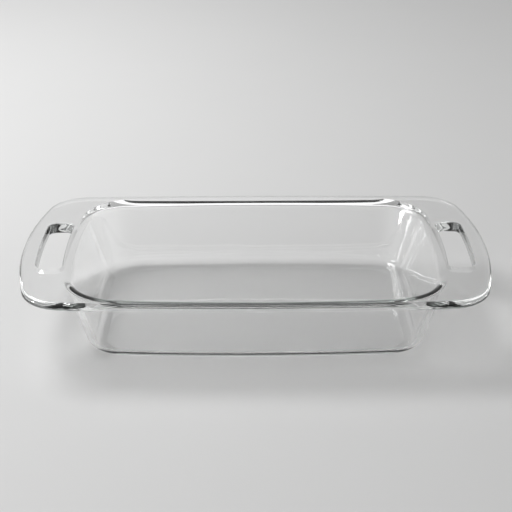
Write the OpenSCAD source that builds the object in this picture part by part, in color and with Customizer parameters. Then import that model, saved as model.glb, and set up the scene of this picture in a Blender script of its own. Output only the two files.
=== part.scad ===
// Oblong glass baking dish, one pressing, shown as the zones of its glass:
// floor, four walls, two long rims and two handle plates with grip openings.

/* [Overall size] */
// Length over both handles
overall_l = 394; // [360:1:430]
// Width over the long rims
overall_w = 235; // [210:1:260]
// Height from the table to the handle tips
overall_h = 63; // [54:1:75]
// How far the middle of each long rim lies below the handle tips
rim_sag = 0.8; // [0:0.1:3]

/* [Glass thickness] */
// Wall thickness, measured level
wall_t = 5.2; // [4.2:0.2:6.6]
// Floor thickness
floor_t = 6.6; // [4:0.2:9]
// Thickness of the handle plates and of the rolled rim
plate_t = 6.8; // [6:0.2:8]

/* [Basin] */
// Lean of the walls from upright, in degrees
wall_lean = 17.4; // [12:0.2:22]
// Outside radius between wall and foot
base_r = 19; // [14:0.5:26]
// Inside radius between wall and floor
basin_r = 7.5; // [6:0.5:16]
// Corner radius of the foot, in plan
foot_corner_r = 22; // [16:0.5:32]
// Corner radius at the top of the walls, in plan
wall_corner_r = 44; // [38:0.5:54]
// Bow radius of the basin's long sides
side_bow_r = 1600; // [1200:50:3000]
// Bow radius of the basin's short sides
end_bow_r = 600; // [450:10:900]

/* [Rim] */
// How far the long rims stand out from the walls
lip_reach = 7.5; // [6.8:0.1:9]
// Radius where the inside of the wall turns out into the rim
mouth_r = 8.2; // [6:0.2:8.8]
// Radius between the outside of the wall and the underside of the rim
under_r = 3.8; // [2:0.1:4.6]
// Bow radius of the rim's long edges
rim_side_bow_r = 3400; // [2400:100:5000]
// Bow radius of the handles' outer edges
rim_end_bow_r = 356; // [300:2:450]
// Corner radius of the outline, in plan
rim_corner_r = 36; // [30:0.5:42]

/* [Handles] */
// How far each handle plate reaches out from the end wall
handle_reach = 40.8; // [38:0.2:46]
// Glass between the basin's mouth and the grip opening
web_w = 1.4; // [1.2:0.1:4]
// Length of the grip opening, along the handle
opening_l = 96; // [80:1:110]
// Width of the grip opening
opening_w = 22; // [18:0.5:25]
// Corner radius of the grip opening
opening_corner_r = 8; // [5:0.5:9]
// Radius rolled onto the rims of the grip opening
opening_edge_r = 1; // [0.6:0.1:1.1]
// How much the grip opening narrows on each side towards its underside
opening_draft = 1.4; // [0.4:0.1:2]
// How much further in each end of the grip opening lies at its underside
opening_end_draft = 4; // [1:0.2:5]
// Bow radius of the grip opening, which follows the handle
opening_bow_r = 620; // [450:10:900]

/* [Hidden] */
glass = [0.80, 0.88, 0.86, 0.55];

// Steps along the curves of the outline and of the section
corner_steps = 7;
wall_end_steps = 6;
end_steps = 3;
side_steps = 2;
mid_steps = 5;
base_steps = 6;
mouth_steps = 5;
edge_steps = 8;
under_steps = 3;
opening_side_steps = 4;
opening_corner_steps = 3;
opening_end_steps = 2;
opening_edge_steps = 3;
web_steps = 1;
grip_steps = 2;

// Shares of a length
middle_share = 0.8;
floor_inset_share = 0.12;
past_opening_share = 0.1;

// Heights
half_l = overall_l / 2;
half_w = overall_w / 2;
rim_z = overall_h - rim_sag;
edge_r = plate_t / 2;
plate_under_z = rim_z - plate_t;
lean_rise = tan(wall_lean);
mouth_drop = mouth_r * (1 - sin(wall_lean));
mouth_run = mouth_r * cos(wall_lean);
seam_z = plate_under_z - under_r;

// Outside of the wall, half length and half width at the underside of the plates
wall_a = half_l - handle_reach;
wall_b = half_w - lip_reach;

function wall_out(half, z) = half - (plate_under_z - z) * lean_rise;
function wall_in(half, z) = wall_out(half, z) - wall_t;

// The outside base curve: its tangent length, and its ends
base_turn = 90 - wall_lean;
base_run = base_r * tan(base_turn / 2);
foot_a = wall_out(wall_a, 0) - base_run;
foot_b = wall_out(wall_b, 0) - base_run;
basin_run = basin_r * tan(base_turn / 2);
basin_a = wall_in(wall_a, floor_t) - basin_run;
basin_b = wall_in(wall_b, floor_t) - basin_run;

// The floor plate ends a little inside both of those flats
floor_inset = floor_inset_share * base_r;
floor_a = min(foot_a, basin_a) - floor_inset;
floor_b = min(foot_b, basin_b) - floor_inset;

// The underside curve meets the wall here
under_turn = 90 - wall_lean;
under_run = under_r * tan(under_turn / 2);

// Radius of the corners at a height of the wall
function wall_corner(z) = foot_corner_r + (wall_corner_r - foot_corner_r) * z / plate_under_z;

// A ring is a bowed rectangle: half length, half width, long bow, end bow, corner, height, lift
function ring(a, b, side_r, end_r, corner_r, z, lift) = [a, b, side_r, end_r, corner_r, z, lift];
function basin_ring(a, b, z, lift = 0) =
    ring(a, b, side_bow_r, end_bow_r, wall_corner(max(z, 0)), z, lift);
function floor_ring(z) = ring(floor_a, floor_b, side_bow_r, end_bow_r, foot_corner_r, z, 0);
function rim_ring(inset, z) =
    ring(half_l - inset, half_w - inset, rim_side_bow_r - inset, rim_end_bow_r - inset,
         rim_corner_r - inset, z, 1);

// Centre of a ring's corner arc, where the arcs of its side and its end meet it
function corner_centre(g) =
    let (low = g[1] - g[2], r1 = g[2] - g[4], far = g[0] - g[3], r2 = g[3] - g[4],
         span = norm([far, -low]), along = (r1 * r1 - r2 * r2 + span * span) / (2 * span),
         off = sqrt(max(r1 * r1 - along * along, 0)))
    [along * far / span - off * low / span, low - along * low / span - off * far / span];

function end_angle(g) = let (c = corner_centre(g)) atan2(c[1], c[0] - g[0] + g[3]);
function side_angle(g) = let (c = corner_centre(g)) atan2(c[1] - g[1] + g[2], c[0]);
function end_x(g, y) = g[0] - g[3] + sqrt(g[3] * g[3] - y * y);
function side_y(g, x) = g[1] - g[2] + sqrt(g[2] * g[2] - x * x);
function corner_point(g, angle) = corner_centre(g) + g[4] * [cos(angle), sin(angle)];

// The middle zone of the long sides stops short of every corner
function straight_x(g) = g[2] * cos(side_angle(g));
function straight_y(g) = g[3] * sin(end_angle(g));
middle_x = middle_share * min(straight_x(floor_ring(0)),
                              straight_x(basin_ring(wall_a, wall_b, plate_under_z)));

// Stations beside the grip opening, measured from the handle's middle
opening_straight = opening_l / 2 - opening_corner_r;
opening_half_turn = 45;
opening_ys = concat(
    [for (i = [0 : opening_side_steps]) opening_straight * i / opening_side_steps],
    [for (i = [1 : opening_corner_steps])
        opening_straight + opening_corner_r * sin(opening_half_turn * i / opening_corner_steps)]);
opening_last = opening_ys[len(opening_ys) - 1];

// Part of a ring round its corner and back along its side, to the middle zone's edge
function mix(p, q, s) = p + (q - p) * s;
function turn_path(g, from) =
    let (to = side_angle(g), x2 = straight_x(g))
    concat(
        [for (i = [1 : corner_steps]) corner_point(g, mix(from, to, i / corner_steps))],
        [for (i = [1 : side_steps]) let (x = mix(x2, middle_x, i / side_steps)) [x, side_y(g, x)]]);

// Half of a wall's end, from its middle to the middle zone's edge
function wall_half(g) =
    let (y1 = straight_y(g))
    concat(
        [for (i = [0 : wall_end_steps]) let (y = y1 * i / wall_end_steps) [end_x(g, y), y]],
        turn_path(g, end_angle(g)));

// The same of a handle, with its stations beside the grip opening
function y_angle(g, y) =
    y <= straight_y(g) ? end_angle(g) : asin((y - corner_centre(g)[1]) / g[4]);
function plate_x(g, y) =
    y <= straight_y(g) ? end_x(g, y) : corner_point(g, y_angle(g, y))[0];
function handle_half(g) =
    let (y1 = max(straight_y(g), opening_last + past_opening_share * g[4]))
    concat(
        [for (y = opening_ys) [plate_x(g, y), y]],
        [for (i = [1 : end_steps]) let (y = mix(opening_last, y1, i / end_steps)) [plate_x(g, y), y]],
        turn_path(g, y_angle(g, y1)));

function reversed(list) = [for (i = [len(list) - 1 : -1 : 0]) list[i]];
function flipped_y(list) = [for (p = list) [p[0], -p[1]]];
function tail(list) = [for (i = [1 : len(list) - 1]) list[i]];
function both_halves(q) = concat(reversed(flipped_y(tail(q))), q);
function wall_path(g) = both_halves(wall_half(g));
function handle_path(g) = both_halves(handle_half(g));
function mid_path(g) =
    [for (i = [0 : mid_steps]) let (x = mix(middle_x, -middle_x, i / mid_steps)) [x, side_y(g, x)]];

// A point of a ring in space: the rim rises towards the crests of the handles
function lifted(g, p) =
    [p[0], p[1], g[5] + g[6] * rim_sag * pow(p[0] / (half_l - edge_r), 2)];

// Section of the wall: rings from the floor's seam up the inside and down the outside
wall_rings = concat(
    [floor_ring(floor_t)],
    [for (i = [0 : base_steps])
        let (t = base_turn * i / base_steps, out = basin_r * sin(t), up = basin_r * (1 - cos(t)))
        basin_ring(basin_a + out, basin_b + out, floor_t + up)],
    [basin_ring(wall_in(wall_a, seam_z), wall_in(wall_b, seam_z), seam_z)],
    [basin_ring(wall_out(wall_a, seam_z), wall_out(wall_b, seam_z), seam_z)],
    [for (i = [base_steps : -1 : 0])
        let (t = base_turn * i / base_steps, out = base_r * sin(t), up = base_r * (1 - cos(t)))
        basin_ring(foot_a + out, foot_b + out, up)],
    [floor_ring(0)]);

// Section of the rim inside its top: from the seam round the mouth's curve to the crest
mouth_z = rim_z - mouth_drop;
mouth_a = wall_in(wall_a, mouth_z);
mouth_b = wall_in(wall_b, mouth_z);
function mouth_ring(t) =
    let (out = mouth_run - mouth_r * sin(base_turn - t), g = basin_ring(mouth_a, mouth_b, mouth_z))
    ring(mouth_a + out, mouth_b + out, side_bow_r + out, end_bow_r + out, g[4] + out,
         rim_z - mouth_r * (1 - cos(base_turn - t)), 1);
inner_rings = concat(
    [basin_ring(wall_in(wall_a, seam_z), wall_in(wall_b, seam_z), seam_z)],
    [for (i = [0 : mouth_steps]) mouth_ring(base_turn * i / mouth_steps)]);
crest = inner_rings[len(inner_rings) - 1];

// Section of the rim outside its top: round the rolled edge
edge_rings = [for (i = [0 : edge_steps])
    let (t = 180 * i / edge_steps)
    rim_ring(edge_r - edge_r * sin(t), rim_z - edge_r + edge_r * cos(t))];

// Section under the rim: from the foot of the curve there down to the seam
function under_ring(t) =
    let (out = under_run - under_r * sin(t), g = basin_ring(wall_a, wall_b, plate_under_z))
    ring(wall_a + out, wall_b + out, side_bow_r + out, end_bow_r + out, g[4] + out,
         plate_under_z - under_r * (1 - cos(t)), 1);
under_rings = concat(
    [for (i = [0 : under_steps]) under_ring(under_turn * i / under_steps)],
    [basin_ring(wall_out(wall_a, seam_z), wall_out(wall_b, seam_z), seam_z)]);

rim_rings = concat(inner_rings, edge_rings, under_rings);

// Quads between neighbouring rings of one grid, numbered ring by ring
function quad(n, j, k, rows) =
    let (a = j * n + k, b = (j + 1) % rows * n + k) [a, a + 1, b + 1, b];
function grid_quads(n, rows) = [for (j = [0 : rows - 1]) for (k = [0 : n - 2]) quad(n, j, k, rows)];
function first_cap(n, rows) = [for (j = [0 : rows - 1]) j * n];
function last_cap(n, rows) = [for (j = [rows - 1 : -1 : 0]) j * n + n - 1];

// A closed tube of glass along one zone
module zone(paths) {
    n = len(paths[0]);
    rows = len(paths);
    polyhedron(
        points = [for (p = paths) each p],
        faces = concat(grid_quads(n, rows), [first_cap(n, rows), last_cap(n, rows)]),
        convexity = 6);
}

function wall_paths(rings) = [for (g = rings) [for (p = wall_path(g)) lifted(g, p)]];
function end_paths(rings) = [for (g = rings) [for (p = handle_path(g)) lifted(g, p)]];
function mid_paths(rings) = [for (g = rings) [for (p = mid_path(g)) lifted(g, p)]];

// The grip opening: an outline that follows the handle, widened all round by a named amount,
// with both of its ends moved in by another
opening_in = crest[0] + web_w;
opening_out = opening_in + opening_w;
function bent(p) = [p[0] - p[1] * p[1] / (2 * opening_bow_r), p[1]];
function opening_quarter(grow, end_in) =
    let (r = opening_corner_r + grow, cy = opening_straight - end_in)
    concat(
        [for (i = [0 : opening_side_steps]) [0, cy * i / opening_side_steps]],
        [for (i = [1 : opening_corner_steps])
            let (t = opening_half_turn * i / opening_corner_steps)
            [r * (1 - cos(t)), cy + r * sin(t)]]);
function opening_end(grow, end_in) =
    let (r = opening_corner_r + grow, cy = opening_straight - end_in, wide = opening_w + 2 * grow)
    concat(
        [for (i = [1 : opening_corner_steps])
            let (t = opening_half_turn * (1 + i / opening_corner_steps))
            [r * (1 - cos(t)), cy + r * sin(t)]],
        [for (i = [1 : opening_end_steps - 1])
            [r + (wide - 2 * r) * i / opening_end_steps, cy + r]],
        [for (i = [0 : opening_corner_steps - 1])
            let (t = 90 - opening_half_turn * i / opening_corner_steps)
            [wide - r * (1 - cos(t)), cy + r * sin(t)]]);
function mirrored_x(list, wide) = [for (p = list) [wide - p[0], p[1]]];

// The opening's four sides as lists of points: inner and outer run along the stations
function opening_inner(grow, end_in) =
    let (x = opening_in - grow)
    [for (p = both_halves(opening_quarter(grow, end_in))) bent([x + p[0], p[1]])];
function opening_outer(grow, end_in) =
    let (q = mirrored_x(opening_quarter(grow, end_in), opening_w + 2 * grow), x = opening_in - grow)
    [for (p = both_halves(q)) bent([x + p[0], p[1]])];
function opening_far(grow, end_in) =
    [for (p = opening_end(grow, end_in)) bent([opening_in - grow + p[0], p[1]])];
function opening_near(grow, end_in) = flipped_y(opening_far(grow, end_in));
function opening_loop(grow, end_in) =
    concat(opening_inner(grow, end_in), opening_far(grow, end_in),
           reversed(opening_outer(grow, end_in)), reversed(opening_near(grow, end_in)));

// Columns of the plate's flat, from the crest out to the rolled edge, round the opening
across = 2 * opening_corner_steps + opening_end_steps;
plate_columns = web_steps + across + grip_steps;
stations = 2 * (opening_side_steps + opening_corner_steps + end_steps + corner_steps + side_steps);
first_k = end_steps + corner_steps + side_steps;
last_k = stations - first_k;
in_share = (opening_in - crest[0]) / (half_l - edge_r - crest[0]);
out_share = (opening_out - crest[0]) / (half_l - edge_r - crest[0]);
function column_share(c) =
    c <= web_steps ? in_share * c / web_steps :
    c <= web_steps + across ? in_share + (out_share - in_share) * (c - web_steps) / across :
    out_share + (1 - out_share) * (c - web_steps - across) / grip_steps;

function plate_point(c, k, from, to, inner, outer, near, far) =
    k < first_k || k > last_k ? mix(from[k], to[k], column_share(c)) :
    c <= web_steps ? mix(from[k], inner[k - first_k], c / web_steps) :
    c >= web_steps + across ?
        mix(outer[k - first_k], to[k], (c - web_steps - across) / grip_steps) :
    k == first_k ? near[c - web_steps - 1] :
    k == last_k ? far[c - web_steps - 1] :
    mix(inner[k - first_k], outer[k - first_k], (c - web_steps) / across);

// Columns strictly between the two edges of a plate face
function plate_paths(inner_ring, outer_ring, grow, end_in) =
    let (from = handle_path(inner_ring), to = handle_path(outer_ring),
         inner = opening_inner(grow, end_in), outer = opening_outer(grow, end_in),
         near = opening_near(grow, end_in), far = opening_far(grow, end_in))
    [for (c = [1 : plate_columns - 1])
        [for (k = [0 : stations])
            lifted(outer_ring, plate_point(c, k, from, to, inner, outer, near, far))]];

top_paths = plate_paths(crest, edge_rings[0], opening_edge_r, 0);
under_grow = opening_edge_r - opening_draft;
bottom_paths = plate_paths(under_rings[0], edge_rings[edge_steps], under_grow, opening_end_draft);

// All columns of a handle zone, round the section
handle_paths = concat(end_paths(inner_rings), top_paths, end_paths(edge_rings),
                      reversed(bottom_paths), end_paths(under_rings));
top_row = len(inner_rings) - 1;
bottom_row = top_row + plate_columns + edge_steps;
hole_top = top_row + web_steps;
hole_bottom = bottom_row + grip_steps;
function in_hole(j, k) =
    k >= first_k && k < last_k &&
    ((j >= hole_top && j < hole_top + across) || (j >= hole_bottom && j < hole_bottom + across));

// Numbers of the grid points round the opening, in the order of opening_loop
function loop_numbers(n, inner_row, step) = concat(
    [for (k = [first_k : last_k]) inner_row * n + k],
    [for (c = [1 : across - 1]) (inner_row + step * c) * n + last_k],
    [for (k = [last_k : -1 : first_k]) (inner_row + step * across) * n + k],
    [for (c = [across - 1 : -1 : 1]) (inner_row + step * c) * n + first_k]);

// The wall of the opening: rolled edge, drafted wall, rolled edge
opening_rows = concat(
    [for (i = [1 : opening_edge_steps])
        let (t = 90 * i / opening_edge_steps)
        [opening_edge_r * (1 - sin(t)), rim_z - opening_edge_r * (1 - cos(t))]],
    [for (i = [opening_edge_steps : -1 : 1])
        let (t = 90 * i / opening_edge_steps)
        [under_grow - opening_edge_r * sin(t), plate_under_z + opening_edge_r * (1 - cos(t))]]);
function end_in_at(z) = opening_end_draft * (rim_z - z) / plate_t;
opening_points = [for (row = opening_rows)
    for (p = opening_loop(row[0], end_in_at(row[1]))) lifted(ring(0, 0, 0, 0, 0, row[1], 1), p)];

function loop_quads(upper, lower) =
    let (n = len(upper))
    [for (i = [0 : n - 1]) [upper[i], upper[(i + 1) % n], lower[(i + 1) % n], lower[i]]];

module handle_zone() {
    n = stations + 1;
    rows = len(handle_paths);
    around = len(opening_loop(0, 0));
    start = n * rows;
    loops = concat(
        [loop_numbers(n, hole_top, 1)],
        [for (r = [0 : len(opening_rows) - 1]) [for (i = [0 : around - 1]) start + r * around + i]],
        [loop_numbers(n, hole_bottom + across, -1)]);
    polyhedron(
        points = concat([for (p = handle_paths) each p], opening_points),
        faces = concat(
            [for (j = [0 : rows - 1]) for (k = [0 : n - 2]) if (!in_hole(j, k)) quad(n, j, k, rows)],
            [first_cap(n, rows), last_cap(n, rows)],
            [for (r = [0 : len(loops) - 2]) each loop_quads(loops[r], loops[r + 1])]),
        convexity = 8);
}

// The floor plate, with flat faces, stands on the table together with the walls' feet
function outline(g) = let (q = wall_path(g), m = mid_path(g))
    concat(q, [for (i = [1 : mid_steps - 1]) m[i]],
           [for (p = q) -p], [for (i = [1 : mid_steps - 1]) -m[i]]);
module floor_plate() color(glass) linear_extrude(floor_t) polygon(outline(floor_ring(0)));

module back_wall() color(glass) zone(mid_paths(wall_rings));
module front_wall() color(glass) rotate([0, 0, 180]) zone(mid_paths(wall_rings));
module right_wall() color(glass) zone(wall_paths(wall_rings));
module left_wall() color(glass) rotate([0, 0, 180]) zone(wall_paths(wall_rings));
module back_rim() color(glass) zone(mid_paths(rim_rings));
module front_rim() color(glass) rotate([0, 0, 180]) zone(mid_paths(rim_rings));
module right_handle() color(glass) handle_zone();
module left_handle() color(glass) rotate([0, 0, 180]) handle_zone();

floor_plate();
front_wall();
back_wall();
left_wall();
right_wall();
front_rim();
back_rim();
left_handle();
right_handle();
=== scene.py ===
"""Looks of the glass baking dish: one seamless pressing of clear glass on a pale studio table.

Every size is in metres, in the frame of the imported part: +X along the dish, +Y to its back,
+Z up, and the dish's foot at height 0.
"""

import logging
import math
from dataclasses import dataclass, field, replace
from enum import Enum
from typing import Sequence

import bmesh
import bpy
import numpy as np
from mathutils import Matrix, Vector


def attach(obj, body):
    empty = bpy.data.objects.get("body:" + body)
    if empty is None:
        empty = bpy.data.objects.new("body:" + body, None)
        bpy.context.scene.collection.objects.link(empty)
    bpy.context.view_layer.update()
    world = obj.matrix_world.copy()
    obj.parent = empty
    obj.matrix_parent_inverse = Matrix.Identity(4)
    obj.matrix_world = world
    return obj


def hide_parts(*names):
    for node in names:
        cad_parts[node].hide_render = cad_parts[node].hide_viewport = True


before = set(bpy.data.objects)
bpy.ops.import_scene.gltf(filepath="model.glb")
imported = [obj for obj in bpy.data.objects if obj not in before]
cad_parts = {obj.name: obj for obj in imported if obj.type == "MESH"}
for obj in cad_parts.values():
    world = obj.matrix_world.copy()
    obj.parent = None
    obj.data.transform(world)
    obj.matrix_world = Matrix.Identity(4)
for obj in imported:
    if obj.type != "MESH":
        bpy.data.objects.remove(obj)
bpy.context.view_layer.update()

LOG = logging.getLogger("baking_dish")


class End(Enum):
    """The two ends of the dish, by the way that each faces along X."""

    RIGHT = 1
    LEFT = -1


@dataclass(frozen=True)
class Ring:
    """A bowed rectangle: four shallow arcs joined by four corner arcs.

    Attributes:
        a: Half length, along X.
        b: Half width, along Y.
        side_r: Bow radius of the long sides.
        end_r: Bow radius of the short ends.
        corner_r: Radius of the corner arcs.
        z: Height of the ring at its middle.
        lift: Share of the rim's rise that the ring follows, 0 on the basin and 1 on the rim.
    """

    a: float
    b: float
    side_r: float
    end_r: float
    corner_r: float
    z: float
    lift: float = 0.0

    def corner_centre(self) -> tuple[float, float]:
        """Finds the corner arc that is tangent to the side's and the end's arcs.

        Returns:
            The x and y of its centre, for the back right corner.
        """
        low, r1 = self.b - self.side_r, self.side_r - self.corner_r
        far, r2 = self.a - self.end_r, self.end_r - self.corner_r
        span = math.hypot(far, low)
        along = (r1 * r1 - r2 * r2 + span * span) / (2 * span)
        off = math.sqrt(max(r1 * r1 - along * along, 0.0))
        return (along * far / span - off * low / span, low - along * low / span - off * far / span)

    def end_angle(self) -> float:
        """Returns the angle, from +X, at which the end's arc meets the corner's."""
        cx, cy = self.corner_centre()
        return math.atan2(cy, cx - self.a + self.end_r)

    def side_angle(self) -> float:
        """Returns the angle, from +X, at which the corner's arc meets the side's."""
        cx, cy = self.corner_centre()
        return math.atan2(cy - self.b + self.side_r, cx)

    def straight_x(self) -> float:
        """Returns how far the side's arc reaches along X."""
        return self.side_r * math.cos(self.side_angle())

    def straight_y(self) -> float:
        """Returns how far the end's arc reaches along Y."""
        return self.end_r * math.sin(self.end_angle())

    def end_point(self, y: float) -> tuple[float, float]:
        """Returns the point at y on the right end, or on its corner where y is past the end's arc.

        Args:
            y: Distance from the middle of the end.

        Returns:
            The point's x and y.
        """
        if y <= self.straight_y():
            return (self.a - self.end_r + math.sqrt(self.end_r ** 2 - y * y), y)
        return self.corner_point(self.angle_at(y))

    def angle_at(self, y: float) -> float:
        """Finds where on the corner arc the plan reaches a distance from its middle.

        Args:
            y: Distance from the middle of the end.

        Returns:
            The angle from +X, or the angle at which the arc begins where y is short of it.
        """
        if y <= self.straight_y():
            return self.end_angle()
        return math.asin((y - self.corner_centre()[1]) / self.corner_r)

    def corner_point(self, angle: float) -> tuple[float, float]:
        """Returns the point of the back right corner arc at an angle from +X."""
        cx, cy = self.corner_centre()
        return (cx + self.corner_r * math.cos(angle), cy + self.corner_r * math.sin(angle))

    def side_point(self, x: float) -> tuple[float, float]:
        """Returns the point of the back long side at x."""
        return (x, self.b - self.side_r + math.sqrt(self.side_r ** 2 - x * x))


@dataclass
class Steps:
    """How finely the glass is divided along its outline and its section."""

    opening_side: int = 14
    opening_corner: int = 7
    opening_end: int = 5
    opening_edge: int = 7
    end: int = 7
    corner: int = 20
    side: int = 7
    middle: int = 32
    floor: int = 7
    curve: int = 20
    wall: int = 12
    mouth: int = 16
    edge: int = 28
    under: int = 10
    web: int = 4
    grip: int = 8


@dataclass
class GlassDish:
    """The dish: floor, leaning walls, rolled rim, and a handle plate with a grip opening at each end.

    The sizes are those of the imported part. The pressing is one closed skin here, because light
    that passes through glass would show any seam between its zones.

    Attributes:
        overall_l: Length over both handles.
        overall_w: Width over the rim.
        overall_h: Height of the rim at its handle ends.
        rim_sag: How much lower the rim is at its middle.
        wall_t: Thickness of the walls, measured level.
        floor_t: Thickness of the floor.
        plate_t: Thickness of the rim and the handle plates.
        wall_lean: Angle of the walls from upright.
        base_r: Radius of the outside curve between wall and foot.
        basin_r: Radius of the inside curve between floor and wall.
        foot_corner_r: Corner radius at the foot.
        wall_corner_r: Corner radius under the rim.
        side_bow_r: Bow radius of the long walls.
        end_bow_r: Bow radius of the end walls.
        lip_reach: How far the rim stands out past a long wall.
        mouth_r: Radius of the curve from wall to rim.
        under_r: Radius of the curve from the plate's underside to the wall.
        rim_side_bow_r: Bow radius of the rim's long sides.
        rim_end_bow_r: Bow radius of the rim's ends.
        rim_corner_r: Corner radius of the rim.
        handle_reach: How far a handle plate stands out past its wall.
        web_w: Width of flat plate between the mouth's curve and a grip opening.
        opening_l: Length of a grip opening, across the dish.
        opening_w: Width of a grip opening.
        opening_corner_r: Corner radius of a grip opening.
        opening_edge_r: Radius of its rolled edges.
        opening_draft: How much narrower it is at the underside, on each side.
        opening_end_draft: How much shorter it is at the underside, at each end.
        opening_bow_r: Bow radius of a grip opening.
        flat_margin: Width of the narrow band of faces round each flat.
        flat_fill: Share of a flat's half size that its shrinking rings cover.
        middle_share: Share of a straight side that holds its evenly spaced points.
        turn_share: Room between the opening's last point and the turn, as a share of the corner.
        crowded_share: Share of a ring's half width past which the end's points are squeezed.
        squeezed_share: Share of the end's arc that the squeezed points cover.
        steps: How finely each part is divided.
    """

    overall_l: float = 0.394
    overall_w: float = 0.235
    overall_h: float = 0.063
    rim_sag: float = 0.0008
    wall_t: float = 0.0052
    floor_t: float = 0.0066
    plate_t: float = 0.0068
    wall_lean: float = math.radians(17.4)
    base_r: float = 0.019
    basin_r: float = 0.0075
    foot_corner_r: float = 0.022
    wall_corner_r: float = 0.044
    side_bow_r: float = 1.6
    end_bow_r: float = 0.6
    lip_reach: float = 0.0075
    mouth_r: float = 0.0082
    under_r: float = 0.0038
    rim_side_bow_r: float = 3.4
    rim_end_bow_r: float = 0.356
    rim_corner_r: float = 0.036
    handle_reach: float = 0.0408
    web_w: float = 0.0014
    opening_l: float = 0.096
    opening_w: float = 0.022
    opening_corner_r: float = 0.008
    opening_edge_r: float = 0.001
    opening_draft: float = 0.0014
    opening_end_draft: float = 0.0040
    opening_bow_r: float = 0.62
    flat_margin: float = 0.0004
    flat_fill: float = 0.94
    middle_share: float = 0.8
    turn_share: float = 0.1
    crowded_share: float = 0.55
    squeezed_share: float = 0.75
    steps: Steps = field(default_factory=Steps)

    def __post_init__(self) -> None:
        """Works out the heights and the half sizes that the section needs."""
        self.half_l = self.overall_l / 2
        self.half_w = self.overall_w / 2
        self.rim_z = self.overall_h - self.rim_sag
        self.edge_r = self.plate_t / 2
        self.plate_under_z = self.rim_z - self.plate_t
        self.turn = math.pi / 2 - self.wall_lean
        self.wall_a = self.half_l - self.handle_reach
        self.wall_b = self.half_w - self.lip_reach
        base_run = self.base_r * math.tan(self.turn / 2)
        self.foot_a = self.wall_out(self.wall_a, 0) - base_run
        self.foot_b = self.wall_out(self.wall_b, 0) - base_run
        basin_run = self.basin_r * math.tan(self.turn / 2)
        self.basin_a = self.wall_in(self.wall_a, self.floor_t) - basin_run
        self.basin_b = self.wall_in(self.wall_b, self.floor_t) - basin_run
        self.middle_x = self.middle_share * min(
            self.basin_ring(self.basin_a, self.basin_b, 0).straight_x(),
            self.basin_ring(self.wall_a, self.wall_b, self.plate_under_z).straight_x())
        self.opening_straight = self.opening_l / 2 - self.opening_corner_r

    # The section, from the basin's floor round the rim to the foot

    def wall_out(self, half: float, z: float) -> float:
        """Returns the outside half size of a wall at height z, from its half size under the rim."""
        return half - (self.plate_under_z - z) * math.tan(self.wall_lean)

    def wall_in(self, half: float, z: float) -> float:
        """Returns the inside half size of a wall at height z."""
        return self.wall_out(half, z) - self.wall_t

    def wall_corner(self, z: float) -> float:
        """Returns the corner radius of the basin at height z."""
        share = max(z, 0.0) / self.plate_under_z
        return self.foot_corner_r + (self.wall_corner_r - self.foot_corner_r) * share

    def basin_ring(self, a: float, b: float, z: float) -> Ring:
        """Returns a ring of the basin, with the corners that it has at height z."""
        return Ring(a, b, self.side_bow_r, self.end_bow_r, self.wall_corner(z), z)

    def grown_ring(self, a: float, b: float, out: float, corner_z: float, z: float) -> Ring:
        """Returns a ring that lies outside the basin's by an equal amount all round.

        Args:
            a: Half length of the basin's ring.
            b: Half width of the basin's ring.
            out: How far outside it the new ring lies.
            corner_z: Height at which the basin's corner radius is taken.
            z: Height of the new ring.

        Returns:
            The ring, which follows the rim's rise.
        """
        return Ring(a + out, b + out, self.side_bow_r + out, self.end_bow_r + out,
                    self.wall_corner(corner_z) + out, z, 1.0)

    def rim_ring(self, inset: float, z: float) -> Ring:
        """Returns a ring that lies inside the rim's outline by an equal amount all round."""
        return Ring(self.half_l - inset, self.half_w - inset, self.rim_side_bow_r - inset,
                    self.rim_end_bow_r - inset, self.rim_corner_r - inset, z, 1.0)

    def inside_rings(self) -> list[Ring]:
        """Works out the basin's inside.

        Returns:
            The rings from the floor's edge up the wall, to the crest of the mouth.
        """
        s = self.steps
        flat_a, flat_b = self.basin_a - self.flat_margin, self.basin_b - self.flat_margin
        rings = [self.basin_ring(flat_a, flat_b, self.floor_t)]
        for i in range(s.curve + 1):
            t = self.turn * i / s.curve
            out, up = self.basin_r * math.sin(t), self.basin_r * (1 - math.cos(t))
            rings.append(self.basin_ring(self.basin_a + out, self.basin_b + out, self.floor_t + up))
        low = rings[-1].z
        mouth_z = self.rim_z - self.mouth_r * (1 - math.sin(self.wall_lean))
        for i in range(1, s.wall):
            z = low + (mouth_z - low) * i / s.wall
            ring = self.basin_ring(self.wall_in(self.wall_a, z), self.wall_in(self.wall_b, z), z)
            rings.append(replace(ring, lift=i / s.wall))
        mouth_a, mouth_b = self.wall_in(self.wall_a, mouth_z), self.wall_in(self.wall_b, mouth_z)
        for i in range(s.mouth + 1):
            t = self.turn * (1 - i / s.mouth)
            out = self.mouth_r * (math.cos(self.wall_lean) - math.sin(t))
            rings.append(self.grown_ring(mouth_a, mouth_b, out, mouth_z,
                                         self.rim_z - self.mouth_r * (1 - math.cos(t))))
        return rings

    def edge_rings(self) -> list[Ring]:
        """Works out the rolled edge.

        Returns:
            The rings round it, from the plate's top to its underside.
        """
        rings = []
        for i in range(self.steps.edge + 1):
            t = math.pi * i / self.steps.edge
            rings.append(self.rim_ring(self.edge_r * (1 - math.sin(t)),
                                       self.rim_z - self.edge_r * (1 - math.cos(t))))
        return rings

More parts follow.
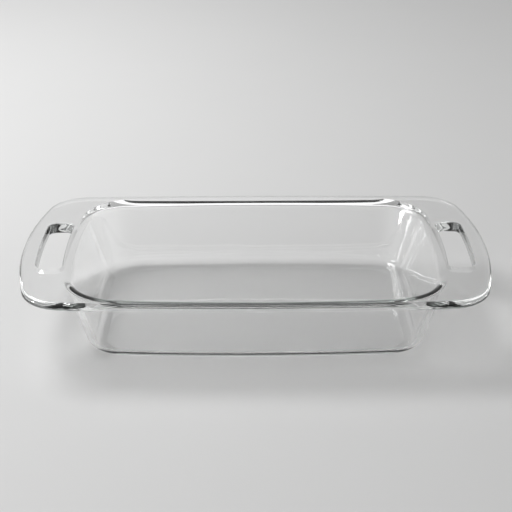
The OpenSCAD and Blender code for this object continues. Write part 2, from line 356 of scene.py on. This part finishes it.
    def outside_rings(self) -> list[Ring]:
        """Works out the dish's outside.

        Returns:
            The rings from the plate's underside down the wall, to the flat of the foot.
        """
        s = self.steps
        rings = []
        run = self.under_r * math.tan(self.turn / 2)
        for i in range(s.under + 1):
            t = self.turn * i / s.under
            rings.append(self.grown_ring(self.wall_a, self.wall_b, run - self.under_r * math.sin(t),
                                         self.plate_under_z,
                                         self.plate_under_z - self.under_r * (1 - math.cos(t))))
        high = rings[-1].z
        base_top = self.base_r * (1 - math.cos(self.turn))
        for i in range(1, s.wall):
            z = high + (base_top - high) * i / s.wall
            ring = self.basin_ring(self.wall_out(self.wall_a, z), self.wall_out(self.wall_b, z), z)
            rings.append(replace(ring, lift=1 - i / s.wall))
        for i in range(s.curve + 1):
            t = self.turn * (1 - i / s.curve)
            out, up = self.base_r * math.sin(t), self.base_r * (1 - math.cos(t))
            rings.append(self.basin_ring(self.foot_a + out, self.foot_b + out, up))
        flat_a, flat_b = self.foot_a - self.flat_margin, self.foot_b - self.flat_margin
        rings.append(self.basin_ring(flat_a, flat_b, 0))
        return rings

    def floor_rings(self, edge: Ring) -> list[Ring]:
        """Returns shrinking rings that fill a flat, from its edge to near its middle.

        Args:
            edge: The flat's outer ring.

        Returns:
            The rings inside it, largest first.
        """
        n = self.steps.floor
        rings = []
        for i in range(1, n + 1):
            keep = 1 - self.flat_fill * i / n
            rings.append(Ring(edge.a * keep, edge.b * keep, edge.side_r * keep, edge.end_r * keep,
                              edge.corner_r * keep, edge.z))
        return rings

    # The outline of each ring

    def opening_stations(self) -> list[float]:
        """Spaces the points that each outline shares with the grip opening.

        Returns:
            Their distances from the middle of the handle.
        """
        s = self.steps
        straight = [self.opening_straight * i / s.opening_side for i in range(s.opening_side + 1)]
        last = [self.opening_straight
                + self.opening_corner_r * math.sin(math.pi / 4 * i / s.opening_corner)
                for i in range(1, s.opening_corner + 1)]
        return straight + last

    def middle_reach(self, ring: Ring) -> float:
        """Returns how far along X a ring's evenly spaced points go on each long side."""
        return min(self.middle_x, self.middle_share * ring.straight_x())

    def half_end(self, ring: Ring) -> list[tuple[float, float]]:
        """Traces a quarter of a ring, with points to match the grip opening's.

        Args:
            ring: The ring to trace.

        Returns:
            Its points from the middle of the right end to the long side's middle part.
        """
        s = self.steps
        ys = self.opening_stations()
        turn_y = max(ring.straight_y(), ys[-1] + self.turn_share * ring.corner_r)
        if turn_y > ring.straight_y() and ys[-1] > self.crowded_share * ring.b:
            turn_y = ring.straight_y()
            ys = [y * self.squeezed_share * turn_y / ys[-1] for y in ys]
        points = [ring.end_point(y) for y in ys]
        points += [ring.end_point(ys[-1] + (turn_y - ys[-1]) * i / s.end)
                   for i in range(1, s.end + 1)]
        first, last = ring.angle_at(turn_y), ring.side_angle()
        points += [ring.corner_point(first + (last - first) * i / s.corner)
                   for i in range(1, s.corner + 1)]
        reach, middle = ring.straight_x(), self.middle_reach(ring)
        points += [ring.side_point(reach + (middle - reach) * i / s.side)
                   for i in range(1, s.side + 1)]
        return points

    def loop(self, ring: Ring) -> np.ndarray:
        """Returns a ring's whole outline, counter-clockwise from the front right.

        Args:
            ring: The ring to trace.

        Returns:
            An array of points in the plan, one row each.
        """
        s = self.steps
        half = self.half_end(ring)
        end = [(x, -y) for x, y in reversed(half[1:])] + half
        middle = self.middle_reach(ring)
        side = [ring.side_point(middle - 2 * middle * i / s.middle) for i in range(1, s.middle)]
        right = np.array(end + side)
        return np.vstack([right, -right])

    def lifted(self, plan: np.ndarray, z: float, lift: float) -> np.ndarray:
        """Lifts plan points to their height, on a rim that rises towards the handles.

        Args:
            plan: Points in the plan, one row each.
            z: Their height at the middle of the dish.
            lift: Share of the rim's rise that they follow.

        Returns:
            The points in space, one row each.
        """
        rise = lift * self.rim_sag * (plan[:, 0] / (self.half_l - self.edge_r)) ** 2
        return np.column_stack([plan, z + rise])

    # The handle plates and their openings

    def crest(self) -> Ring:
        """Returns the ring at which the mouth's curve meets the plate's top."""
        return self.inside_rings()[-1]

    def bent(self, points: Sequence[tuple[float, float]]) -> np.ndarray:
        """Bends points of the opening to follow the handle.

        Args:
            points: Points in the plan, on a straight opening.

        Returns:
            The bent points, one row each.
        """
        plan = np.array(points, dtype=float)
        plan[:, 0] -= plan[:, 1] ** 2 / (2 * self.opening_bow_r)
        return plan

    def opening_sides(self, grow: float, longer: float) -> dict[str, np.ndarray]:
        """Returns the opening's four sides, widened all round.

        Args:
            grow: How far outside the opening's own outline the sides lie.
            longer: How much further out each of its ends lies.

        Returns:
            Points of the inner and outer sides, from front to back, and of the near and far ends,
            from the basin outwards.
        """
        s = self.steps
        r, cy = self.opening_corner_r + grow, self.opening_straight + longer
        wide = self.opening_w + 2 * grow
        x0 = self.crest().a + self.web_w - grow
        quarter = [(0.0, cy * i / s.opening_side) for i in range(s.opening_side + 1)]
        for i in range(1, s.opening_corner + 1):
            t = math.pi / 4 * i / s.opening_corner
            quarter.append((r * (1 - math.cos(t)), cy + r * math.sin(t)))
        inner = [(x, -y) for x, y in reversed(quarter[1:])] + quarter
        end = []
        for i in range(1, s.opening_corner + 1):
            t = math.pi / 4 * (1 + i / s.opening_corner)
            end.append((r * (1 - math.cos(t)), cy + r * math.sin(t)))
        end += [(r + (wide - 2 * r) * i / s.opening_end, cy + r) for i in range(1, s.opening_end)]
        for i in range(s.opening_corner):
            t = math.pi / 2 - math.pi / 4 * i / s.opening_corner
            end.append((wide - r * (1 - math.cos(t)), cy + r * math.sin(t)))
        return {
            "inner": self.bent([(x0 + x, y) for x, y in inner]),
            "outer": self.bent([(x0 + wide - x, y) for x, y in inner]),
            "far": self.bent([(x0 + x, y) for x, y in end]),
            "near": self.bent([(x0 + x, -y) for x, y in end]),
        }

    def end_shift(self, z: float) -> float:
        """Returns how far the opening's ends have come in at height z, on their slope."""
        return -self.opening_end_draft * (self.rim_z - z) / self.plate_t

    def opening_loop(self, grow: float, longer: float) -> np.ndarray:
        """Returns the opening's outline as one closed run of points, widened all round."""
        sides = self.opening_sides(grow, longer)
        return np.vstack([sides["inner"], sides["far"], sides["outer"][::-1], sides["near"][::-1]])

    def plate_counts(self) -> tuple[int, int, int, int]:
        """Counts the points of a handle plate.

        Returns:
            The columns across the opening, the columns across the plate, and the first and last
            place in an outline that face the opening.
        """
        s = self.steps
        across = 2 * s.opening_corner + s.opening_end
        columns = s.web + across + s.grip
        first = s.end + s.corner + s.side
        stations = 2 * (s.opening_side + s.opening_corner + s.end + s.corner + s.side)
        return across, columns, first, stations - first

    def plate_loops(self, inner_ring: Ring, outer_ring: Ring, grow: float,
                    longer: float) -> list[np.ndarray]:
        """Returns the outlines between the edges of a plate face, led round both openings.

        Args:
            inner_ring: The face's edge at the basin.
            outer_ring: The face's edge at the rolled rim.
            grow: How far the opening is widened at this face.
            longer: How much further out its ends lie at this face.

        Returns:
            One closed outline for each column of points, from the basin outwards.
        """
        s = self.steps
        across, columns, first, last = self.plate_counts()
        start, stop = self.loop(inner_ring), self.loop(outer_ring)
        sides = self.opening_sides(grow, longer)
        span = outer_ring.a - inner_ring.a
        in_share = (sides["inner"][:, 0].max() - inner_ring.a) / span
        out_share = (sides["outer"][:, 0].max() - inner_ring.a) / span
        half = len(start) // 2
        loops = []
        for c in range(1, columns):
            if c <= s.web:
                share = in_share * c / s.web
            elif c <= s.web + across:
                share = in_share + (out_share - in_share) * (c - s.web) / across
            else:
                share = out_share + (1 - out_share) * (c - s.web - across) / s.grip
            plan = start + (stop - start) * share
            for k in range(first, last + 1):
                if c <= s.web:
                    point = start[k] + (sides["inner"][k - first] - start[k]) * c / s.web
                elif c >= s.web + across:
                    edge = sides["outer"][k - first]
                    point = edge + (stop[k] - edge) * (c - s.web - across) / s.grip
                elif k == first:
                    point = sides["near"][c - s.web - 1]
                elif k == last:
                    point = sides["far"][c - s.web - 1]
                else:
                    inner, outer = sides["inner"][k - first], sides["outer"][k - first]
                    point = inner + (outer - inner) * (c - s.web) / across
                plan[k] = point
                plan[half + k] = -point
            loops.append(plan)
        return loops

    # The mesh

    def build(self) -> bpy.types.Object:
        """Builds the whole pressing as one closed mesh.

        Returns:
            The dish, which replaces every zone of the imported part.
        """
        s = self.steps
        across, _, first, last = self.plate_counts()
        inside, edge, outside = self.inside_rings(), self.edge_rings(), self.outside_rings()
        floor = list(reversed(self.floor_rings(inside[0])))
        under_grow = self.opening_edge_r - self.opening_draft
        top = self.plate_loops(inside[-1], edge[0], self.opening_edge_r, 0.0)
        bottom = list(reversed(self.plate_loops(outside[0], edge[-1], under_grow,
                                                -self.opening_end_draft)))
        rows = [self.lifted(self.loop(g), g.z, g.lift) for g in floor + inside]
        top_row = len(rows) - 1
        rows += [self.lifted(p, self.rim_z, 1.0) for p in top]
        rows += [self.lifted(self.loop(g), g.z, g.lift) for g in edge]
        bottom_row = len(rows) - 1
        rows += [self.lifted(p, self.plate_under_z, 1.0) for p in bottom]
        rows += [self.lifted(self.loop(g), g.z, g.lift) for g in outside]
        rows += [self.lifted(self.loop(g), g.z, g.lift) for g in self.floor_rings(outside[-1])]
        count = len(rows[0])
        half = count // 2
        hole_top, hole_bottom = top_row + s.web, bottom_row + s.grip

        def in_hole(j: int, k: int) -> bool:
            """Tells whether quad k of row j lies in a grip opening."""
            rows_in = hole_top <= j < hole_top + across or hole_bottom <= j < hole_bottom + across
            return rows_in and first <= k % half < last

        faces = [(j * count + k, (j + 1) * count + k,
                  (j + 1) * count + (k + 1) % count, j * count + (k + 1) % count)
                 for j in range(len(rows) - 1) for k in range(count) if not in_hole(j, k)]
        faces.append(tuple(range(count)))
        faces.append(tuple((len(rows) - 1) * count + k for k in reversed(range(count))))
        points = [np.vstack(rows)]
        start = len(rows) * count
        for end in End:
            more, wall_faces = self.opening_wall(end, start, count, hole_top, hole_bottom)
            points.append(more)
            faces += wall_faces
            start += len(more)
        mesh = bpy.data.meshes.new("glass_dish")
        mesh.from_pydata(np.vstack(points).tolist(), [], faces)
        mesh.validate()
        drop_loose(mesh)
        mesh.shade_smooth()
        dish = bpy.data.objects.new("glass_dish", mesh)
        bpy.context.scene.collection.objects.link(dish)
        return dish

    def opening_wall(self, end: End, start: int, count: int, hole_top: int,
                     hole_bottom: int) -> tuple[np.ndarray, list[tuple[int, ...]]]:
        """Builds the wall of one grip opening, with its two rolled edges.

        Args:
            end: The handle that it goes through.
            start: Number of the wall's first new point.
            count: Points in each outline of the dish.
            hole_top: Row of the opening's inner side on the plate's top.
            hole_bottom: Row of the opening's outer side on the plate's underside.

        Returns:
            The new points and the faces.
        """
        s = self.steps
        across, _, first, last = self.plate_counts()
        shift = 0 if end is End.RIGHT else count // 2

        def border(inner_row: int, step: int) -> list[int]:
            """Numbers the plate's points round the opening.

            Args:
                inner_row: Row of the opening's inner side.
                step: Way from that row to the outer side's, 1 or -1.

            Returns:
                The numbers of the points, in order round the opening.
            """
            outer_row = inner_row + step * across
            ring = [inner_row * count + shift + k for k in range(first, last + 1)]
            ring += [(inner_row + step * c) * count + shift + last for c in range(1, across)]
            ring += [outer_row * count + shift + k for k in range(last, first - 1, -1)]
            ring += [(inner_row + step * c) * count + shift + first
                     for c in range(across - 1, 0, -1)]
            return ring

        r, under_grow = self.opening_edge_r, self.opening_edge_r - self.opening_draft
        levels = []
        for i in range(1, s.opening_edge + 1):
            t = math.pi / 2 * i / s.opening_edge
            levels.append((r * (1 - math.sin(t)), self.rim_z - r * (1 - math.cos(t))))
        for i in range(s.opening_edge, 0, -1):
            t = math.pi / 2 * i / s.opening_edge
            levels.append((under_grow - r * math.sin(t),
                           self.plate_under_z + r * (1 - math.cos(t))))
        points = [self.lifted(self.opening_loop(grow, self.end_shift(z)) * end.value, z, 1.0)
                  for grow, z in levels]
        around = len(points[0])
        loops = [border(hole_top, 1)]
        loops += [[start + n * around + i for i in range(around)] for n in range(len(levels))]
        loops.append(border(hole_bottom + across, -1))
        faces = []
        for upper, lower in zip(loops, loops[1:]):
            for i in range(around):
                n = (i + 1) % around
                faces.append((upper[i], lower[i], lower[n], upper[n]))
        return np.vstack(points), faces

    def dress(self, dish: bpy.types.Object) -> None:
        """Gives the pressing its glass."""
        dish.data.materials.append(ClearGlass().material())


def drop_loose(mesh: bpy.types.Mesh) -> None:
    """Deletes points that no face uses, such as the grid's points inside the grip openings.

    Args:
        mesh: The mesh to clean.
    """
    bm = bmesh.new()
    bm.from_mesh(mesh)
    bmesh.ops.delete(bm, geom=[v for v in bm.verts if not v.link_faces], context="VERTS")
    bm.normal_update()
    bm.to_mesh(mesh)
    bm.free()


def ripple_group() -> bpy.types.NodeTree:
    """Builds the group that gives a surface soft uneven ripples, unless it is there already.

    Returns:
        The group.
    """
    name = "soft_ripple"
    if name in bpy.data.node_groups:
        return bpy.data.node_groups[name]
    group = bpy.data.node_groups.new(name, "ShaderNodeTree")
    for socket, start in (("Scale", 20.0), ("Detail", 1.0), ("Strength", 0.2), ("Distance", 0.0001)):
        group.interface.new_socket(socket, in_out="INPUT", socket_type="NodeSocketFloat")
        group.interface.items_tree[socket].default_value = start
    group.interface.new_socket("Normal", in_out="OUTPUT", socket_type="NodeSocketVector")
    nodes, links = group.nodes, group.links
    values, result = nodes.new("NodeGroupInput"), nodes.new("NodeGroupOutput")
    place, noise = nodes.new("ShaderNodeTexCoord"), nodes.new("ShaderNodeTexNoise")
    bump = nodes.new("ShaderNodeBump")
    links.new(place.outputs["Object"], noise.inputs["Vector"])
    links.new(values.outputs["Scale"], noise.inputs["Scale"])
    links.new(values.outputs["Detail"], noise.inputs["Detail"])
    links.new(noise.outputs["Fac"], bump.inputs["Height"])
    links.new(values.outputs["Strength"], bump.inputs["Strength"])
    links.new(values.outputs["Distance"], bump.inputs["Distance"])
    links.new(bump.outputs["Normal"], result.inputs["Normal"])
    return group


def add_ripple(mat: bpy.types.Material, **amounts: float) -> None:
    """Gives a material's surface soft ripples.

    Args:
        mat: The material, with a Principled BSDF.
        amounts: Values for the ripple group's inputs, by name.
    """
    tree = mat.node_tree
    ripple = tree.nodes.new("ShaderNodeGroup")
    ripple.node_tree = ripple_group()
    for name, amount in amounts.items():
        ripple.inputs[name].default_value = amount
    tree.links.new(ripple.outputs["Normal"], tree.nodes["Principled BSDF"].inputs["Normal"])


@dataclass(frozen=True)
class ClearGlass:
    """Clear pressed glass: fire-polished, faintly uneven, and grey-green where it is thick.

    Attributes:
        ior: How strongly it bends light.
        tint: Colour that light takes on its way through.
        absorption: How fast it does.
        roughness: How far from polished it is.
        ripple_scale: How fine the ripples are.
        ripple_strength: How fully the ripples show.
        ripple_depth: Height of the ripples, in metres.
    """

    ior: float = 1.52
    tint: tuple[float, float, float, float] = (0.80, 0.88, 0.85, 1.0)
    absorption: float = 3.0
    roughness: float = 0.0
    ripple_scale: float = 24.0
    ripple_strength: float = 1.0
    ripple_depth: float = 0.00012

    def material(self) -> bpy.types.Material:
        """Builds the glass.

        Returns:
            The material.
        """
        mat = bpy.data.materials.new("clear_glass")
        mat.use_nodes = True
        nodes, links = mat.node_tree.nodes, mat.node_tree.links
        shader = nodes["Principled BSDF"]
        shader.inputs["Base Color"].default_value = (1.0, 1.0, 1.0, 1.0)
        shader.inputs["Roughness"].default_value = self.roughness
        shader.inputs["IOR"].default_value = self.ior
        shader.inputs["Transmission Weight"].default_value = 1.0
        volume = nodes.new("ShaderNodeVolumeAbsorption")
        volume.inputs["Color"].default_value = self.tint
        volume.inputs["Density"].default_value = self.absorption
        links.new(volume.outputs["Volume"], nodes["Material Output"].inputs["Volume"])
        add_ripple(mat, Scale=self.ripple_scale, Strength=self.ripple_strength,
                   Distance=self.ripple_depth)
        return mat


@dataclass(frozen=True)
class PalePaper:
    """The sweep's matt paper, with painted light: paler on its left, where the light falls, and
    darker to its right; with a faint mottle, and clear from beneath.

    Attributes:
        left: Painted lit colour of the left side, where the light falls.
        right: Painted shaded colour of the right side.
        reach: Distance from the middle at which each is full, in metres.
        mirroring: How much its surface mirrors.
        mottle: Share by which the mottle darkens it.
        mottle_scale: How fine the mottle is.
        grain_scale: How fine the grain is.
        grain_detail: How many finer sizes of bump it has.
        grain_strength: How fully the grain shows.
        grain_depth: Height of the grain, in metres.
    """

    # Painted light and shade: the paper is paler on the left and darker on the right.
    left: tuple[float, float, float, float] = (0.750, 0.750, 0.748, 1.0)
    right: tuple[float, float, float, float] = (0.610, 0.610, 0.608, 1.0)
    reach: float = 0.5
    mirroring: float = 0.0
    mottle: float = 0.02
    mottle_scale: float = 6.0
    grain_scale: float = 900.0
    grain_detail: float = 3.0
    grain_strength: float = 0.3
    grain_depth: float = 0.0002

    def material(self) -> bpy.types.Material:
        """Builds the paper.

        Returns:
            The material.
        """
        mat = bpy.data.materials.new("pale_sweep")
        mat.use_nodes = True
        nodes, links = mat.node_tree.nodes, mat.node_tree.links
        shader = nodes["Principled BSDF"]
        shader.inputs["Specular IOR Level"].default_value = self.mirroring
        place, parts = nodes.new("ShaderNodeTexCoord"), nodes.new("ShaderNodeSeparateXYZ")
        links.new(place.outputs["Object"], parts.inputs[0])
        across = nodes.new("ShaderNodeMapRange")
        across.interpolation_type = "SMOOTHSTEP"
        across.inputs["From Min"].default_value = -self.reach
        across.inputs["From Max"].default_value = self.reach
        links.new(parts.outputs["X"], across.inputs["Value"])
        # Painted light: the paper blends across X from its painted lit left colour to its painted
        # shaded right colour.
        sides = nodes.new("ShaderNodeMix")
        sides.data_type = "RGBA"
        links.new(across.outputs["Result"], sides.inputs[0])
        sides.inputs[6].default_value = self.left
        sides.inputs[7].default_value = self.right
        noise = nodes.new("ShaderNodeTexNoise")
        noise.inputs["Scale"].default_value = self.mottle_scale
        links.new(place.outputs["Object"], noise.inputs["Vector"])
        amount = nodes.new("ShaderNodeMath")
        amount.operation = "MULTIPLY"
        amount.inputs[1].default_value = self.mottle
        links.new(noise.outputs["Fac"], amount.inputs[0])
        mottled = nodes.new("ShaderNodeMix")
        mottled.data_type = "RGBA"
        mottled.inputs[7].default_value = (0.0, 0.0, 0.0, 1.0)
        links.new(amount.outputs["Value"], mottled.inputs[0])
        links.new(sides.outputs[2], mottled.inputs[6])
        links.new(mottled.outputs[2], shader.inputs["Base Color"])
        add_ripple(mat, Scale=self.grain_scale, Detail=self.grain_detail,
                   Strength=self.grain_strength, Distance=self.grain_depth)
        side, clear = nodes.new("ShaderNodeNewGeometry"), nodes.new("ShaderNodeBsdfTransparent")
        see_through = nodes.new("ShaderNodeMixShader")
        links.new(side.outputs["Backfacing"], see_through.inputs["Fac"])
        links.new(shader.outputs["BSDF"], see_through.inputs[1])
        links.new(clear.outputs["BSDF"], see_through.inputs[2])
        links.new(see_through.outputs["Shader"], nodes["Material Output"].inputs["Surface"])
        return mat


@dataclass
class Table:
    """The pale sweep that the dish stands on: flat under it, and rising behind it.

    Attributes:
        half_x: Half its width.
        drop: How far its flat lies under the foot, so that the two never touch.
        front: How far it comes forward of the dish.
        fold: Where a row of its points crosses the flat, in front of the dish.
        back: How far the flat goes behind the dish.
        curve_r: Radius of the curve up from the flat.
        height: Height of its top edge.
        curve_steps: Strips in the curve.
    """

    half_x: float = 4.0
    drop: float = 0.0003
    front: float = 3.0
    fold: float = 0.5
    back: float = 2.2
    curve_r: float = 1.2
    height: float = 3.0
    curve_steps: int = 24

    def build(self) -> bpy.types.Object:
        """Builds the sweep as one strip of smooth paper.

        Returns:
            The sweep.
        """
        profile = [(y, -self.drop) for y in (-self.front, -self.fold, self.back)]
        for i in range(1, self.curve_steps + 1):
            t = math.pi / 2 * i / self.curve_steps
            profile.append((self.back + self.curve_r * math.sin(t),
                            self.curve_r * (1 - math.cos(t)) - self.drop))
        profile.append((self.back + self.curve_r, self.height))
        points, faces = [], []
        for y, z in profile:
            points += [(-self.half_x, y, z), (self.half_x, y, z)]
        for i in range(len(profile) - 1):
            faces.append((2 * i, 2 * i + 1, 2 * i + 3, 2 * i + 2))
        mesh = bpy.data.meshes.new("table_sweep")
        mesh.from_pydata(points, [], faces)
        mesh.shade_smooth()
        mesh.materials.append(PalePaper().material())
        sweep = bpy.data.objects.new("table_sweep", mesh)
        bpy.context.scene.collection.objects.link(sweep)
        return sweep


class Reach(Enum):
    """What a lamp does: lights everything, or only shows in glass."""

    ALL = "all"
    GLASS = "glass"


@dataclass
class Softbox:
    """A soft studio lamp that hangs at a place and faces another.

    Attributes:
        name: Name of the lamp.
        place: Where it hangs.
        size: Its width and height.
        power: Its power in watts.
        reach: What it lights.
        aim: The point that it faces.
    """

    name: str
    place: tuple[float, float, float]
    size: tuple[float, float]
    power: float
    reach: Reach = Reach.ALL
    aim: tuple[float, float, float] = (0.0, 0.0, 0.0)

    def hang(self) -> bpy.types.Object:
        """Hangs the lamp.

        Returns:
            The lamp.
        """
        data = bpy.data.lights.new(self.name, "AREA")
        data.shape = "RECTANGLE"
        data.size, data.size_y = self.size
        data.energy = self.power
        lamp = bpy.data.objects.new(self.name, data)
        lamp.location = self.place
        way = Vector(self.aim) - Vector(self.place)
        lamp.rotation_euler = way.to_track_quat("-Z", "Y").to_euler()
        lamp.visible_diffuse = self.reach is Reach.ALL
        bpy.context.scene.collection.objects.link(lamp)
        return lamp


@dataclass
class PhotoCamera:
    """The photograph's viewpoint, fitted to the dish's outline.

    Attributes:
        elevation: Angle by which the camera looks down.
        yaw: Angle by which it looks to the right of the dish's back.
        roll: Angle by which it is tilted.
        distance: Distance from the point that it faces.
        target: That point.
        lens: Focal length, in millimetres.
        sensor: Width of its sensor, in millimetres.
        nearest: Nearest distance that it shows.
        farthest: Farthest distance that it shows.
    """

    elevation: float = math.radians(24.0)
    yaw: float = 0.008
    roll: float = -0.001
    distance: float = 1.1498
    target: tuple[float, float, float] = (0.000752, 0.0, 0.05215)
    lens: float = 94.5
    sensor: float = 36.0
    nearest: float = 0.01
    farthest: float = 50.0

    def build(self) -> bpy.types.Object:
        """Places the camera and makes it the scene's.

        Returns:
            The camera.
        """
        level = math.cos(self.elevation)
        forward = Vector((math.sin(self.yaw) * level, math.cos(self.yaw) * level,
                          -math.sin(self.elevation)))
        data = bpy.data.cameras.new("photo_camera")
        data.lens = self.lens
        data.sensor_width = self.sensor
        data.clip_start = self.nearest
        data.clip_end = self.farthest
        camera = bpy.data.objects.new("photo_camera", data)
        place = Matrix.Translation(Vector(self.target) - forward * self.distance)
        turn = forward.to_track_quat("-Z", "Y").to_matrix().to_4x4()
        camera.matrix_world = place @ turn @ Matrix.Rotation(self.roll, 4, "Z")
        bpy.context.scene.collection.objects.link(camera)
        bpy.context.scene.camera = camera
        return camera


@dataclass
class StudioRoom:
    """The room round the table: bright screens at its sides and back, and a darker front.

    Each run of greys goes from the middle of the front or back to the middle of a side.

    Attributes:
        shown: How pale the camera sees the room where no backdrop stands.
        lit: How much light the room gives the table.
        low: Greys near the horizon, as pairs of place and grey.
        high: Greys well above the horizon, as pairs of place and grey.
        low_z: Height, on a sphere of radius 1, up to which the low greys hold.
        high_z: Height from which the high greys hold.
        top_z: Height from which the ceiling grows paler.
        top: How many times the high greys the zenith is.
        back_more: What is added to each grey at the middle of the back.
        left_more: What is added to each grey at the middle of the left side.
    """

    shown: float = 0.75
    lit: float = 0.62
    low: tuple[tuple[float, float], ...] = ((0.0, 0.05), (0.5, 0.25), (0.8, 0.75), (1.0, 0.85))
    high: tuple[tuple[float, float], ...] = ((0.0, 0.75), (0.5, 0.85), (1.0, 0.95))
    low_z: float = 0.15
    high_z: float = 0.50
    top_z: float = 0.80
    top: float = 1.40
    back_more: float = 0.60
    left_more: float = 0.10

    def build(self) -> bpy.types.World:
        """Builds the room as the scene's world.

        Returns:
            The world.
        """
        world = bpy.data.worlds.new("studio_room")
        bpy.context.scene.world = world
        world.use_nodes = True
        nodes, links = world.node_tree.nodes, world.node_tree.links
        path = nodes.new("ShaderNodeLightPath")
        lighting = nodes["Background"]
        lighting.inputs["Color"].default_value = (self.lit, self.lit, self.lit, 1.0)
        backdrop = nodes.new("ShaderNodeBackground")
        backdrop.inputs["Color"].default_value = (self.shown, self.shown, self.shown, 1.0)
        mirrored = nodes.new("ShaderNodeBackground")
        links.new(self.walls(world.node_tree), mirrored.inputs["Color"])
        through = nodes.new("ShaderNodeMath")
        through.operation = "MAXIMUM"
        links.new(path.outputs["Is Glossy Ray"], through.inputs[0])
        links.new(path.outputs["Is Transmission Ray"], through.inputs[1])
        other = nodes.new("ShaderNodeMixShader")
        links.new(through.outputs["Value"], other.inputs["Fac"])
        links.new(lighting.outputs["Background"], other.inputs[1])
        links.new(mirrored.outputs["Background"], other.inputs[2])
        mix = nodes.new("ShaderNodeMixShader")
        links.new(path.outputs["Is Camera Ray"], mix.inputs["Fac"])
        links.new(other.outputs["Shader"], mix.inputs[1])
        links.new(backdrop.outputs["Background"], mix.inputs[2])
        links.new(mix.outputs["Shader"], nodes["World Output"].inputs["Surface"])
        return world

    def walls(self, tree: bpy.types.NodeTree) -> bpy.types.NodeSocket:
        """Builds the greys that glass and its reflections see.

        Args:
            tree: The world's node tree.

        Returns:
            The socket that carries the grey in each direction.
        """
        nodes, links = tree.nodes, tree.links
        way = nodes.new("ShaderNodeTexCoord")
        parts = nodes.new("ShaderNodeSeparateXYZ")
        links.new(way.outputs["Generated"], parts.inputs[0])
        aside = nodes.new("ShaderNodeMath")
        aside.operation = "ABSOLUTE"
        links.new(parts.outputs["X"], aside.inputs[0])
        runs = [self.run(tree, greys, aside.outputs["Value"]) for greys in (self.low, self.high)]
        height = self.spread(tree, parts.outputs["Z"], self.low_z, self.high_z, 0.0, 1.0)
        both = nodes.new("ShaderNodeMix")
        both.data_type = "FLOAT"
        links.new(height, both.inputs[0])
        links.new(runs[0], both.inputs[2])
        links.new(runs[1], both.inputs[3])
        behind = self.spread(tree, parts.outputs["Y"], 0.0, 1.0, 0.0, self.back_more)
        left = self.spread(tree, parts.outputs["X"], -1.0, 0.0, self.left_more, 0.0)
        ceiling = self.spread(tree, parts.outputs["Z"], self.top_z, 1.0, 1.0, self.top)
        total = both.outputs[0]
        for operation, more in (("ADD", behind), ("ADD", left), ("MULTIPLY", ceiling)):
            step = nodes.new("ShaderNodeMath")
            step.operation = operation
            links.new(total, step.inputs[0])
            links.new(more, step.inputs[1])
            total = step.outputs["Value"]
        return total

    def run(self, tree: bpy.types.NodeTree, greys: tuple[tuple[float, float], ...],
            place: bpy.types.NodeSocket) -> bpy.types.NodeSocket:
        """Builds one run of greys.

        Args:
            tree: The world's node tree.
            greys: Pairs of place and grey.
            place: The socket that carries the place.

        Returns:
            The socket that carries the grey.
        """
        ramp = tree.nodes.new("ShaderNodeValToRGB")
        stops = ramp.color_ramp.elements
        while len(stops) < len(greys):
            stops.new(stops[-1].position / 2)
        for stop, (at, grey) in zip(stops, greys):
            stop.position = at
            stop.color = (grey, grey, grey, 1.0)
        tree.links.new(place, ramp.inputs["Fac"])
        return ramp.outputs["Color"]

    def spread(self, tree: bpy.types.NodeTree, value: bpy.types.NodeSocket, start: float,
               stop: float, first: float, last: float) -> bpy.types.NodeSocket:
        """Maps a value smoothly from one span to another.

        Args:
            tree: The world's node tree.
            value: The socket that carries the value.
            start: Low end of the value's span.
            stop: High end of the value's span.
            first: Result at the low end.
            last: Result at the high end.

        Returns:
            The socket that carries the result.
        """
        span = tree.nodes.new("ShaderNodeMapRange")
        span.interpolation_type = "SMOOTHSTEP"
        for name, amount in (("From Min", start), ("From Max", stop), ("To Min", first),
                             ("To Max", last)):
            span.inputs[name].default_value = amount
        tree.links.new(value, span.inputs["Value"])
        return span.outputs["Result"]


def deepen_light_paths(turns: int = 10, passes: int = 32) -> None:
    """Lets light go on inside the glass, whose edges would else turn black.

    Args:
        turns: How often it may be mirrored.
        passes: How often it may pass a surface.
    """
    cycles = bpy.context.scene.cycles
    cycles.max_bounces = passes
    cycles.transmission_bounces = passes
    cycles.glossy_bounces = turns


def main() -> None:
    """Builds the dish, its table and its light."""
    logging.basicConfig(level=logging.INFO, format="%(name)s: %(message)s")
    bpy.context.scene.view_settings.view_transform = "Standard"
    deepen_light_paths()
    dish = GlassDish()
    glass = dish.build()
    dish.dress(glass)
    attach(glass, "root")
    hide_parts("floor_plate", "front_wall", "back_wall", "left_wall", "right_wall",
                "front_rim", "back_rim", "left_handle", "right_handle")
    LOG.info("glass_dish: %d points", len(glass.data.vertices))
    Table().build()
    Softbox("overhead", place=(-0.9, 0.6, 1.4), size=(0.9, 0.5), power=15.0).hang()
    Softbox("window", place=(-2.0, -0.3, 0.32), size=(0.25, 0.3), power=20.0,
            reach=Reach.GLASS).hang()
    StudioRoom().build()
    PhotoCamera().build()


if __name__ == "__main__":
    main()
